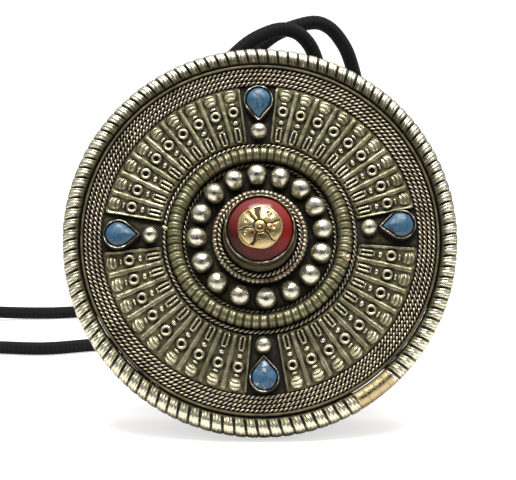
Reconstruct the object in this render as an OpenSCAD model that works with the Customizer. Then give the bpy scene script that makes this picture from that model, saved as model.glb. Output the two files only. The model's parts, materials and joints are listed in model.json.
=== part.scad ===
/* [Wheel face] */
// Diameter of the wheel over its reeded rim
disc_d = 76; // [70:1:84]
// Width of the reeded rim, measured along the radius
rim_w = 3.5; // [3:0.1:4]
// Depth of the reeded rim, front to back
rim_t = 6.7; // [4.4:0.1:8]
// How far the rim stands in front of the back of the face sheet
rim_front = 2.5; // [2:0.1:3]
// Thickness of the silver face sheet
face_t = 0.8; // [0.6:0.1:1]
// Diameter of each twisted wire in the border
rope_d = 0.86; // [0.7:0.02:0.9]
// Number of twisted wires in the border
rope_n = 4; // [2:1:4]

/* [Stamped panels] */
// Angle that a stamped panel covers, before its own difference
panel_a = 75.6; // [72:0.2:75.6]
// Number of motif columns in one panel
column_n = 9; // [7:1:9]
// Thickness of the panel sheet
panel_t = 0.4; // [0.3:0.05:0.6]

/* [Centre] */
// Number of large granules round the boss
granule_n = 16; // [12:1:16]
// Diameter of a large granule
granule_d = 4.2; // [3.4:0.1:4.4]
// Diameter of the coral stone
coral_d = 12.6; // [12:0.1:13.4]
// Height of the top of the coral above the face
coral_h = 11.2; // [10:0.1:13]

/* [Turquoise settings] */
// Width of a teardrop setting
drop_w = 5.9; // [5:0.1:6.2]
// Length of a teardrop setting
drop_l = 7.5; // [7:0.1:8]
// Height of a setting's wall above the face
drop_h = 2.2; // [1.8:0.1:3]

/* [Drum and guard] */
// Diameter of the drum that holds the scroll
drum_d = 53; // [48:1:54]
// Depth of the drum behind the face
drum_h = 17; // [15:0.5:20]
// Diameter of the fixed guard plate over its edge wire
guard_d = 64; // [62:1:66]
// Diameter of the axle
axle_d = 4; // [3:0.5:4]

/* [Neck cord] */
// Diameter of the neck cord
cord_d = 3; // [2.6:0.1:3.2]

/* [Hidden] */
$fn = 96;
small_fn = 32;
gap = 0.05;

// Colours
silver = "#8f8a70";
worn_silver = "#b5b08f";
dark_silver = "#5a5644";

// Wheel face, in the wheel's own frame: z forward along the axle, y up the face, 0 at the sheet's back
disc_r = disc_d / 2;
rim_r = disc_r - rim_w / 2;
rim_back = rim_t - rim_front - rim_w / 2;
rim_inner = disc_r - rim_w;
strip_w = 0.5;
strip_h = 1.1;
strip_r = rim_inner - gap;
rope_pitch = rope_d + 0.02;
rope_outer = strip_r - strip_w - gap;
panel_outer = rope_outer - rope_n * rope_pitch - 0.1;
panel_inner = 18.9;

// Motif column: where each shape starts or has its middle along the radius, and its size
relief_sink = 0.1;
shell_r = 1.25;
shell_at = panel_outer - 1.5;
shell_sink = 0.35;
bar_at = 26.7;
bar_size = [0.6, 1.4, 0.6];
ring_at = 25.4;
ring_r = 1.1;
ring_bore = 0.55;
ring_h = 0.7;
bead_at = 23.2;
bead_r = 0.65;
twin_at = 19.7;
twin_size = [2.5, 0.4, 0.55];
twin_side = 0.45;
ridge_w = 0.6;
ridge_h = 0.5;
ridge_end = 0.5;

// Rings between the panels and the granules
mid_rope_d = 0.8;
mid_ring_w = 2.9;
mid_ring_r = 16.4;
mid_rope_outer_r = mid_ring_r + mid_ring_w / 2 + mid_rope_d / 2;
mid_rope_inner_r = mid_ring_r - mid_ring_w / 2 - mid_rope_d / 2;
granule_r = 12.1;

// Turquoise settings and the granule at each tip
drop_wall = 0.4;
drop_floor = 0.4;
drop_r = panel_outer - drop_w / 2 - 0.15;
tip_granule_d = 3.3;
tip_granule_r = 21;

// Set out by eye: the angle of each setting, and the middle and own difference of each panel
settings = [["right", 5], ["top", 90.6], ["left", 179], ["bottom", 271.8]];
panels = [["ne", 47.7, -3], ["nw", 134, -2.9], ["sw", 225.3, 4], ["se", 318, 0.8]];

// The granules are a little closer together on one side of the ring
granule_turn = 4;
granule_stray = 3;
granule_side = 25;

// Boss, fixed to the front end of the axle
washer_front_t = 0.6;
washer_front_r = 5.5;
boss_z = face_t + washer_front_t + gap;
flange_t = 0.35;
flange_r = 9.1;
cup_base_r = 7.2;
cup_top_r = 6.85;
cup_h = 5.8;
cup_floor = 1.5;
boss_ring_d = 1.4;
boss_ring_r = 8.6;
boss_rope_d = 1;
boss_rope_r = 7.72;
boss_rope_rise = 0.88;
bezel_wall = 0.35;
bezel_top = 9.7;
coral_r = coral_d / 2;
coral_edge = 9.2;
coral_top = face_t + coral_h;
coral_sphere = (pow(coral_r, 2) + pow(coral_top - coral_edge, 2)) / (2 * (coral_top - coral_edge));
rosette_r = 4.4;
rosette_t = 0.45;

// Drum, bearing and scroll
drum_r = drum_d / 2;
sheet_t = 0.8;
axle_r = axle_d / 2;
running = 0.05;
fit = 0.02;
bush_r = axle_r + 1;
core_r = bush_r + 0.6;
bush_l = 3.5;
scroll_r = drum_r - 3;
scroll_gap = 0.3;
tie_t = 0.3;
drum_wire_d = 1;

// Fixed guard plate, its edge wire, and the bail
guard_wire_d = 1.7;
guard_t = 1;
washer_rear_t = 1.2;
washer_rear_r = 6;
flange_rear_t = 0.6;
guard_front = -drum_h - gap - washer_rear_t - flange_rear_t;
guard_back = guard_front - guard_t;
guard_z = guard_back + guard_wire_d / 2;
guard_wire_r = guard_d / 2 - guard_wire_d / 2;
guard_r = guard_wire_r - guard_wire_d / 2;
head_r = 3.6;
bail_t = 1.2;
bail_y = 36.4;
bail_r = 4.4;
bail_hole = 2.5;
bail_w = 7;
bail_foot = 26;
rivet_r = 0.7;
rivet_y = 27.6;
rivet_x = 2;
rivet_head_t = 0.4;
rivet_head_r = 1.12;

// It leans back until the guard's edge wire meets the surface, so the lean follows from the sizes
lean_a = rim_r - guard_wire_r;
lean_b = rim_w / 2 - guard_wire_d / 2;
lean_c = -guard_z - rim_back;
lean = asin(lean_b / sqrt(lean_a * lean_a + lean_c * lean_c)) + atan2(lean_a, lean_c);
axis_z = rim_r * cos(lean) + rim_back * sin(lean) + rim_w / 2;
front_y = rim_r * sin(lean) + (rim_front - rim_w / 2) * cos(lean) + rim_w / 2;
back_y = (bail_y + bail_r) * sin(lean) - guard_front * cos(lean);
axis_y = (front_y - back_y) / 2;

module in_place() {
    translate([0, axis_y, axis_z])
        rotate([90 - lean, 0, 0])
            children();
}

// A ring of round wire: r to the middle of the wire, z to the middle of the wire
module wire_ring(r, d, z) {
    translate([0, 0, z])
        rotate_extrude()
            translate([r, 0])
                circle(d = d, $fn = small_fn);
}

module tube(r_out, r_in, z0, z1) {
    translate([0, 0, z0])
        difference() {
            cylinder(r = r_out, h = z1 - z0);
            translate([0, 0, -1])
                cylinder(r = r_in, h = z1 - z0 + 2);
        }
}

// Wheel face
module rim_ring() {
    color(worn_silver)
        rotate_extrude()
            translate([rim_r, 0]) {
                translate([0, rim_front - rim_w / 2])
                    circle(d = rim_w, $fn = small_fn);
                translate([0, -rim_back])
                    circle(d = rim_w, $fn = small_fn);
                translate([-rim_w / 2, -rim_back])
                    square([rim_w, rim_t - rim_w]);
            }
}

module edge_strip() {
    color(silver)
        tube(strip_r, strip_r - strip_w, face_t, face_t + strip_h);
}

module face_sheet() {
    color(dark_silver)
        tube(strip_r, core_r, 0, face_t);
}

module rope_wire(i) {
    color(silver)
        wire_ring(rope_outer - (i - 0.5) * rope_pitch, rope_d, face_t + rope_d / 2);
}

// The part of a ball that stands above the middle of the panel sheet
module dome(at, r) {
    base = face_t + panel_t / 2;
    intersection() {
        translate(at)
            sphere(r = r, $fn = small_fn);
        translate([at[0], at[1], base])
            cylinder(r = r + 0.2, h = 2, $fn = small_fn);
    }
}

// One motif column, lying along +x: a shell, a small bar, a ring, a bead and two thin bars
module column() {
    top = face_t + panel_t;
    low = top - relief_sink;
    dome([shell_at, 0, top - shell_sink], shell_r);
    translate([bar_at, -bar_size[1] / 2, low])
        cube(bar_size);
    translate([ring_at, 0, low])
        difference() {
            cylinder(r = ring_r, h = ring_h, $fn = small_fn);
            cylinder(r = ring_bore, h = ring_h + 1, $fn = small_fn);
        }
    dome([bead_at, 0, low], bead_r);
    for (side = [-1, 1])
        translate([twin_at, side * twin_side - twin_size[1] / 2, low])
            cube(twin_size);
}

// One stamped panel, with its middle at the angle middle and covering the angle cover
module panel(middle, cover) {
    column_a = cover / column_n;
    color(worn_silver)
        rotate(middle) {
            rotate(-cover / 2)
                rotate_extrude(angle = cover)
                    translate([panel_inner, face_t])
                        square([panel_outer - panel_inner, panel_t]);
            for (i = [0:column_n - 1])
                rotate((i - (column_n - 1) / 2) * column_a)
                    column();
            for (i = [1:column_n - 1])
                rotate((i - column_n / 2) * column_a)
                    translate([panel_inner + ridge_end, -ridge_w / 2, face_t + panel_t - relief_sink])
                        cube([panel_outer - panel_inner - 2 * ridge_end, ridge_w, ridge_h]);
        }
}

module mid_rope_outer() {
    color(silver)
        wire_ring(mid_rope_outer_r + gap, mid_rope_d, face_t + mid_rope_d / 2);
}

module mid_reeded_ring() {
    color(silver)
        wire_ring(mid_ring_r, mid_ring_w, face_t + mid_ring_w / 2);
}

module mid_rope_inner() {
    color(dark_silver)
        wire_ring(mid_rope_inner_r - gap, mid_rope_d, face_t + mid_rope_d / 2);
}

module granule_ring() {
    color(worn_silver)
        for (i = [0:granule_n - 1])
            let(even = i * 360 / granule_n, stray = granule_stray * cos(even + granule_side))
                rotate(even + granule_turn + stray)
                    translate([granule_r, 0, face_t + granule_d / 2])
                        sphere(d = granule_d, $fn = 48);
}

// A teardrop round the middle of its round end, pointing along -x, set in by inset
module drop(inset = 0) {
    r = drop_w / 2 - inset;
    tip = (drop_l - drop_w / 2) * r / (drop_w / 2);
    tangent = acos(r / tip);
    circle(r = r, $fn = 64);
    polygon([
        [-tip, 0],
        [-r * cos(tangent), -r * sin(tangent)],
        [-r * cos(tangent), r * sin(tangent)]
    ]);
}

module bezel(a) {
    color(silver)
        rotate(a)
            translate([drop_r, 0, face_t])
                difference() {
                    linear_extrude(drop_h)
                        drop();
                    translate([0, 0, drop_floor])
                        linear_extrude(drop_h)
                            drop(drop_wall);
                }
}

// The stone fills the setting, and its round end rises to a low dome
module turquoise(a) {
    stone_gap = drop_wall + 0.06;
    stone_r = drop_w / 2 - stone_gap;
    stone_h = drop_h - 0.2;
    dome_h = 1;
    dome_r = (pow(stone_r - 0.1, 2) + pow(dome_h, 2)) / (2 * dome_h);
    color("#3f78a8")
        rotate(a)
            translate([drop_r, 0, face_t]) {
                translate([0, 0, drop_floor])
                    linear_extrude(stone_h - drop_floor)
                        drop(stone_gap);
                intersection() {
                    translate([0, 0, stone_h - 0.4])
                        cylinder(r = stone_r - 0.1, h = 2);
                    translate([0, 0, stone_h + dome_h - dome_r])
                        sphere(r = dome_r);
                }
            }
}

module tip_granules() {
    color(worn_silver)
        for (s = settings)
            rotate(s[1])
                translate([tip_granule_r, 0, face_t + tip_granule_d / 2])
                    sphere(d = tip_granule_d, $fn = 48);
}

// Drum, bearing and scroll, turning with the face
module drum_wall() {
    color(silver)
        tube(drum_r, drum_r - sheet_t, -drum_h, 0);
}

module drum_back() {
    color(silver)
        tube(drum_r - sheet_t, core_r, -drum_h, -drum_h + sheet_t);
}

module drum_wires() {
    color(worn_silver)
        for (z = [-drum_h + drum_wire_d / 2, -drum_h / 2, -drum_wire_d / 2])
            wire_ring(drum_r + drum_wire_d / 2, drum_wire_d, z);
}

module core_tube() {
    color("#a98d4f")
        tube(core_r, bush_r, -drum_h, face_t);
}

module bush(z0) {
    color("#c8a45a")
        tube(bush_r, axle_r + running, z0, z0 + bush_l);
}

module mantra_scroll() {
    color("#d9cba3")
        tube(scroll_r, core_r + gap, -drum_h + sheet_t + scroll_gap, -scroll_gap);
}

module scroll_tie() {
    tie_w = 2;
    color("#8c2f26")
        tube(scroll_r + tie_t, scroll_r, -drum_h / 2 - tie_w / 2, -drum_h / 2 + tie_w / 2);
}

// Fixed axle, guard and bail
module axle() {
    color("#a98d4f") {
        translate([0, 0, guard_back + gap])
            cylinder(r = axle_r, h = boss_z + cup_h - cup_floor - guard_back - gap);
        translate([0, 0, guard_front])
            cylinder(r = head_r, h = flange_rear_t);
    }
}

module washer_front() {
    color("#c8a45a")
        tube(washer_front_r, axle_r + fit, face_t + gap, boss_z);
}

module washer_rear() {
    color("#c8a45a")
        tube(washer_rear_r, axle_r + fit, guard_front + flange_rear_t, guard_front + flange_rear_t + washer_rear_t);
}

module rivet_holes(z, h) {
    for (side = [-1, 1])
        translate([side * rivet_x, rivet_y, z])
            cylinder(r = rivet_r + fit / 2, h = h, $fn = small_fn);
}

module guard_plate() {
    color(silver)
        difference() {
            tube(guard_r, axle_r + fit, guard_back, guard_front);
            rivet_holes(guard_back - 1, guard_t + 2);
        }
}

// The edge wire stops on either side of the bail strap
module guard_edge_wire() {
    stop = asin((bail_w / 2 + 0.1) / guard_r);
    color(worn_silver)
        translate([0, 0, guard_z])
            rotate(90 + stop)
                rotate_extrude(angle = 360 - 2 * stop)
                    translate([guard_wire_r, 0])
                        circle(d = guard_wire_d, $fn = small_fn);
}

module bail_loop() {
    color(silver)
        translate([0, 0, guard_front])
            difference() {
                union() {
                    translate([-bail_w / 2, bail_foot, 0])
                        cube([bail_w, bail_y - bail_foot, bail_t]);
                    translate([0, bail_y, 0])
                        cylinder(r = bail_r, h = bail_t, $fn = 64);
                }
                translate([0, bail_y, -1])
                    cylinder(r = bail_hole, h = bail_t + 2, $fn = 48);
                rivet_holes(-1, bail_t + 2);
            }
}

module bail_rivets() {
    color(worn_silver)
        for (side = [-1, 1])
            translate([side * rivet_x, rivet_y, 0]) {
                translate([0, 0, guard_back + gap])
                    cylinder(r = rivet_r, h = guard_t + bail_t - gap, $fn = small_fn);
                translate([0, 0, guard_front + bail_t])
                    cylinder(r = rivet_head_r, h = rivet_head_t, $fn = small_fn);
            }
}

// Boss
module boss_cup() {
    color(silver)
        translate([0, 0, boss_z])
            difference() {
                union() {
                    cylinder(r = flange_r, h = flange_t);
                    cylinder(r1 = cup_base_r, r2 = cup_top_r, h = cup_h);
                }
                translate([0, 0, -1])
                    cylinder(r = axle_r + fit, h = cup_h - cup_floor + 1);
            }
}

module boss_reeded_ring() {
    color(worn_silver)
        wire_ring(boss_ring_r, boss_ring_d, boss_z + flange_t + boss_ring_d / 2);
}

module boss_rope() {
    color(silver)
        wire_ring(boss_rope_r, boss_rope_d, boss_z + flange_t + boss_ring_d / 2 + boss_rope_rise);
}

module coral_bezel() {
    color(silver)
        tube(coral_r + gap + bezel_wall, coral_r + gap, boss_z + cup_h, bezel_top);
}

module coral_stone() {
    color("#8e1b14")
        translate([0, 0, boss_z + cup_h])
            intersection() {
                cylinder(r = coral_r, h = coral_h);
                translate([0, 0, coral_top - coral_sphere - boss_z - cup_h])
                    sphere(r = coral_sphere, $fn = 128);
            }
}

module gold_rosette() {
    centre = coral_top - coral_sphere;
    color("#d8b25a")
        intersection() {
            cylinder(r = rosette_r, h = coral_top + 2);
            difference() {
                translate([0, 0, centre])
                    sphere(r = coral_sphere + rosette_t, $fn = 128);
                translate([0, 0, centre])
                    sphere(r = coral_sphere + 0.02, $fn = 128);
            }
        }
}

// Neck cord: both halves leave the bail's hole, fall behind the guard and lie on the surface
cord_r = cord_d / 2;
bail_mid = guard_front + bail_t / 2;
bail_point = [
    0,
    axis_y + bail_y * sin(lean) - bail_mid * cos(lean),
    axis_z + bail_y * cos(lean) + bail_mid * sin(lean)
];
front_route = [
    [-0.5, 18.2, 65.4],
    [-2.6, 16.2, 64.4],
    [-4.6, 15.2, 62.8],
    [-7, 15, 62.5],
    [-8.8, 15, 64],
    [-9, 15.4, 66.4],
    [-7.7, 16, 68.5],
    [-5.5, 16.6, 70.5],
    [-2.6, 17.6, 73],
    [0.4, 18.8, 74.7],
    [4, 20.2, 75.8],
    [7.2, 21.4, 75.3],
    [9.6, 22.8, 73.3],
    [11.3, 24.5, 70.2],
    [13.2, 27.3, 64],
    [17, 31, 52],
    [19, 33.5, 38],
    [20.5, 37, 24],
    [21, 43, 12],
    [20, 52, 4],
    [15, 61, 1.7],
    [5, 67.5, 1.6],
    [-10, 70.8, 1.6],
    [-25, 70.4, 1.6],
    [-38, 67.4, 1.6],
    [-49, 62.9, 1.6],
    [-60.5, 64.4, 1.6],
    [-72, 66.8, 1.6],
    [-82, 66.4, 1.6]
];
rear_route = [
    [0.2, 25, 63.1],
    [-0.8, 28.6, 63.8],
    [-2, 30.6, 66.8],
    [-1.1, 31.4, 70.4],
    [1.4, 32.2, 73],
    [5, 33.4, 75.1],
    [11, 35.2, 76.7],
    [14.6, 36.3, 75.6],
    [17.4, 37.3, 72.4],
    [19.2, 38.5, 68.6],
    [21, 40.6, 62],
    [23.8, 44.8, 50],
    [26, 49, 37],
    [27, 54, 24],
    [27.5, 62, 12],
    [26.5, 74, 4],
    [22.5, 86, 1.7],
    [14, 97, 1.6],
    [0, 106.3, 1.6],
    [-18, 111.6, 1.6],
    [-36, 113.6, 1.8],
    [-52, 110, 1.6],
    [-66.5, 108, 2.2],
    [-75, 106.2, 3.4],
    [-82, 103.9, 4.6]
];
coil_at = [-90, 84.5];
coil_r = 18.5;
coil_pitch = 3.1;
knot_d = 8.4;

function unit(v) = v / norm(v);

// A smooth curve through the route points, with steps points for each span
function smooth(p, steps) = [
    for (i = [0:len(p) - 2], k = [0:steps - 1])
        let(
            t = k / steps,
            a = p[max(i - 1, 0)],
            b = p[i],
            c = p[i + 1],
            d = p[min(i + 2, len(p) - 1)]
        )
        b + (c - a) * t / 2 + (2 * a - 5 * b + 4 * c - d) * t * t / 2 + (3 * b - a - 3 * c + d) * t * t * t / 2,
    p[len(p) - 1]
];

function along(p, i) = unit(p[min(i + 1, len(p) - 1)] - p[max(i - 1, 0)]);

// The side direction carried along the line with no twist
function sides(p, i, s) =
    let(t = along(p, i), n = unit(s - (s * t) * t))
    i == len(p) - 1 ? [n] : concat([n], sides(p, i + 1, n));

module cord_tube(p, r, n = 8) {
    s = sides(p, 0, [1, 0.1, 0.2]);
    rings = len(p);
    points = [
        for (i = [0:rings - 1], k = [0:n - 1])
            let(a = 360 * k / n, up = cross(along(p, i), s[i]))
            p[i] + r * (cos(a) * s[i] + sin(a) * up)
    ];
    faces = concat(
        [[for (k = [0:n - 1]) k]],
        [
            for (i = [0:rings - 2], k = [0:n - 1], h = [0, 1])
                let(a = i * n + k, b = i * n + (k + 1) % n)
                h == 0 ? [a, a + n, b] : [b, a + n, b + n]
        ],
        [[for (k = [n - 1:-1:0]) (rings - 1) * n + k]]
    );
    polyhedron(points, faces, convexity = 6);
}

module cord_front() {
    color("#1b1816")
        cord_tube(smooth(concat([bail_point], front_route), 2), cord_r);
}

module cord_rear() {
    color("#1b1816")
        cord_tube(smooth(concat([bail_point], rear_route), 2), cord_r);
}

// The rest of the cord, coiled twice over itself
module cord_coil() {
    color("#1b1816")
        translate([coil_at[0], coil_at[1], 0])
            tube(coil_r + cord_r + 0.1, coil_r - coil_pitch - cord_r - 0.1, 0, 2 * coil_pitch);
}

module cord_knot() {
    color("#1b1816")
        translate([coil_at[0] - coil_r + coil_pitch + cord_r + knot_d / 2, coil_at[1], knot_d / 2])
            sphere(d = knot_d, $fn = small_fn);
}

in_place() rim_ring();
in_place() edge_strip();
in_place() face_sheet();
for (i = [1:rope_n])
    in_place() rope_wire(i);
for (p = panels)
    in_place() panel(p[1], panel_a + p[2]);
in_place() mid_rope_outer();
in_place() mid_reeded_ring();
in_place() mid_rope_inner();
in_place() granule_ring();
for (s = settings) {
    in_place() bezel(s[1]);
    in_place() turquoise(s[1]);
}
in_place() tip_granules();
in_place() drum_wall();
in_place() drum_back();
in_place() drum_wires();
in_place() core_tube();
in_place() bush(face_t - bush_l);  // bush_front
in_place() bush(-drum_h);  // bush_rear
in_place() mantra_scroll();
in_place() scroll_tie();
in_place() axle();
in_place() washer_front();
in_place() washer_rear();
in_place() guard_plate();
in_place() guard_edge_wire();
in_place() bail_loop();
in_place() bail_rivets();
in_place() boss_cup();
in_place() boss_reeded_ring();
in_place() boss_rope();
in_place() coral_bezel();
in_place() coral_stone();
in_place() gold_rosette();
cord_front();
cord_rear();
cord_coil();
cord_knot();
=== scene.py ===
import json
from collections import namedtuple
from math import atan2, cos, pi, radians, sin, sqrt, tau

import bmesh
import bpy
import numpy as np
from mathutils import Matrix, Vector

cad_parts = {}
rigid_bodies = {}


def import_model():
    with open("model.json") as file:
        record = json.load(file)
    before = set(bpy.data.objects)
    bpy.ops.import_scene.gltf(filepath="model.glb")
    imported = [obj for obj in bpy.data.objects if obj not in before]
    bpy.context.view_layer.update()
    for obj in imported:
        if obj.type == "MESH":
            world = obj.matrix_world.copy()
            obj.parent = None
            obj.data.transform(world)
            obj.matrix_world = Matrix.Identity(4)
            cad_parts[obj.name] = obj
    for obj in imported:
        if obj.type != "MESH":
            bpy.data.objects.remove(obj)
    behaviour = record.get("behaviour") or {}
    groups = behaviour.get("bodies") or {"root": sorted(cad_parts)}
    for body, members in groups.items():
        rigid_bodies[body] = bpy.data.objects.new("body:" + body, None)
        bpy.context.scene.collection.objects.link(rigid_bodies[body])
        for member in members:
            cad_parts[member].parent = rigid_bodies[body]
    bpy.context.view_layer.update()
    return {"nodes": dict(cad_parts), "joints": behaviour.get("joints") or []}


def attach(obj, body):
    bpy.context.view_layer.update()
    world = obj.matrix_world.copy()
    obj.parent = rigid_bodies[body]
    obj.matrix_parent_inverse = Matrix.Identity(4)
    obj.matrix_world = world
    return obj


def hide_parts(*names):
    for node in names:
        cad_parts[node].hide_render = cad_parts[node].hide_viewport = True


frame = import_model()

MM = 0.001


# ---------------------------------------------------------------- the wheel's own frame
# X across the face, Y up the face, Z forward along the axle, with its origin in the face's middle.

SPIN = frame["joints"][0]
HUB = Vector(SPIN["pos_m"])
FORWARD = Vector(SPIN["axis"]).normalized()
ACROSS = Vector((1, 0, 0))
UP_FACE = FORWARD.cross(ACROSS)
FACE = Matrix.Translation(HUB) @ Matrix((ACROSS, UP_FACE, FORWARD)).transposed().to_4x4()

# From millimetres to metres: for shapes made on the table, and for shapes made in the wheel's own frame.
ON_TABLE = Matrix.Scale(MM, 4)
ON_FACE = FACE @ ON_TABLE

Ring = namedtuple("Ring", "inner outer back front")


def in_wheel(node):
    """A CAD node's points in the wheel's own frame, in millimetres."""
    points = np.array([v.co for v in frame["nodes"][node].data.vertices]) - np.array(HUB)
    return points @ np.array([ACROSS, UP_FACE, FORWARD]).T / MM


def around_axle(points):
    """The radius and the angle of each point, round the axle."""
    return np.hypot(points[:, 0], points[:, 1]), np.arctan2(points[:, 1], points[:, 0])


def ring_of(node):
    """Inner and outer radius, back and front of a ring-shaped CAD node, in millimetres."""
    p = in_wheel(node)
    r, _ = around_axle(p)
    return Ring(r.min(), r.max(), p[:, 2].min(), p[:, 2].max())


def angle_of(node):
    """The angle round the face of the middle of a CAD node."""
    x, y, _ = in_wheel(node).mean(0)
    return atan2(y, x)


# ---------------------------------------------------------------- node trees


class Value:
    """A number in a node tree: sums, products and powers of it add Math nodes."""

    def __init__(self, tree, socket):
        self.tree = tree
        self.socket = socket

    def math(self, operation, *others):
        inputs = dict(enumerate((self, *others)))
        made = self.tree.node("ShaderNodeMath", {"operation": operation}, inputs)
        return Value(self.tree, made.outputs[0])

    def __add__(self, other):
        return self.math("ADD", other)

    def __sub__(self, other):
        return self.math("SUBTRACT", other)

    def __mul__(self, other):
        return self.math("MULTIPLY", other)

    def __truediv__(self, other):
        return self.math("DIVIDE", other)

    def __pow__(self, other):
        return self.math("POWER", other)

    def __rsub__(self, other):
        made = self.tree.node("ShaderNodeMath", {"operation": "SUBTRACT"}, {0: other, 1: self})
        return Value(self.tree, made.outputs[0])

    __radd__ = __add__
    __rmul__ = __mul__

    def sin(self):
        return self.math("SINE")

    def least(self, other):
        return self.math("MINIMUM", other)

    def most(self, other):
        return self.math("MAXIMUM", other)

    def clamped(self):
        return self.most(0).least(1)

    def step(self, low, high):
        """0 below low, 1 above high, and smooth between them."""
        made = self.tree.node(
            "ShaderNodeMapRange",
            {"interpolation_type": "SMOOTHSTEP"},
            {"Value": self, "From Min": low, "From Max": high},
        )
        return Value(self.tree, made.outputs["Result"])


class Tree:
    """A node tree. Every node comes from node()."""

    def __init__(self, tree):
        self.tree = tree

    def node(self, kind, settings=None, inputs=None):
        made = self.tree.nodes.new(kind)
        for key, value in (settings or {}).items():
            setattr(made, key, value)
        for key, value in (inputs or {}).items():
            if isinstance(value, Value):
                value = value.socket
            if isinstance(value, bpy.types.NodeSocket):
                self.tree.links.new(value, made.inputs[key])
            else:
                made.inputs[key].default_value = value
        return made

    def parts(self, vector):
        """The X, Y and Z of a vector socket."""
        made = self.node("ShaderNodeSeparateXYZ", inputs={0: vector})
        return [Value(self, s) for s in made.outputs]

    def vector(self, x, y, z):
        return self.node("ShaderNodeCombineXYZ", inputs={0: x, 1: y, 2: z}).outputs[0]

    def scaled(self, vector, by):
        settings = {"operation": "SCALE"}
        return self.node("ShaderNodeVectorMath", settings, {0: vector, "Scale": by}).outputs[0]

    def added(self, vector, other):
        return self.node("ShaderNodeVectorMath", {"operation": "ADD"}, {0: vector, 1: other}).outputs[0]

    def noise(self, where, scale, detail, roughness=0.55):
        inputs = {"Vector": where, "Scale": scale, "Detail": detail, "Roughness": roughness}
        return Value(self, self.node("ShaderNodeTexNoise", inputs=inputs).outputs[0])


class Finish(Tree):
    """A material, with its textures laid out in millimetres in the wheel's own frame."""

    def __init__(self, name):
        self.material = bpy.data.materials.new(name)
        self.material.use_nodes = True
        super().__init__(self.material.node_tree)
        self.shader = self.tree.nodes["Principled BSDF"]
        coordinates = self.node("ShaderNodeTexCoord")
        turned = FACE.to_euler()
        placed = {"Location": HUB, "Rotation": turned, "Scale": (MM, MM, MM)}
        mapping = self.node("ShaderNodeMapping", {"vector_type": "TEXTURE"}, placed)
        self.tree.links.new(coordinates.outputs["Object"], mapping.inputs["Vector"])
        self.where = mapping.outputs[0]

    def radius(self):
        """How far from the axle."""
        x, y, _ = self.parts(self.where)
        return (x * x + y * y) ** 0.5

    def mix(self, share, a, b):
        inputs = {0: share}
        for key, colour in ((6, a), (7, b)):
            inputs[key] = (*colour, 1) if isinstance(colour, tuple) else colour
        settings = {"data_type": "RGBA", "blend_type": "MIX"}
        return self.node("ShaderNodeMix", settings, inputs).outputs[2]

    def cells(self, where, scale, feature):
        inputs = {"Vector": where, "Scale": scale}
        made = self.node("ShaderNodeTexVoronoi", {"feature": feature}, inputs)
        return Value(self, made.outputs["Distance"])

    def attribute(self, name):
        made = self.node("ShaderNodeAttribute", {"attribute_name": name})
        return Value(self, made.outputs["Fac"])

    def shelter(self, distance):
        """0 in the open and 1 deep in a corner, from what stands within distance."""
        inputs = {"Distance": distance}
        made = self.node("ShaderNodeAmbientOcclusion", {"samples": 6}, inputs)
        return 1 - Value(self, made.outputs["AO"])

    def stretched(self, scale):
        inputs = {"Vector": self.where, "Scale": scale}
        return self.node("ShaderNodeMapping", inputs=inputs).outputs[0]

    def bump(self, height, distance, strength):
        inputs = {"Height": height, "Distance": distance, "Strength": strength}
        return self.node("ShaderNodeBump", inputs=inputs).outputs[0]

    def done(self, links, **values):
        """Sets the shader's sockets: values are the same all over, links vary over the surface."""
        for key, value in values.items():
            self.shader.inputs[key.replace("_", " ")].default_value = value
        for key, value in links.items():
            socket = value.socket if isinstance(value, Value) else value
            self.tree.links.new(socket, self.shader.inputs[key])
        return self.material


def placed(name, data):
    """An object at the origin, unturned."""
    made = bpy.data.objects.new(name, data)
    bpy.context.scene.collection.objects.link(made)
    return made


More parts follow.
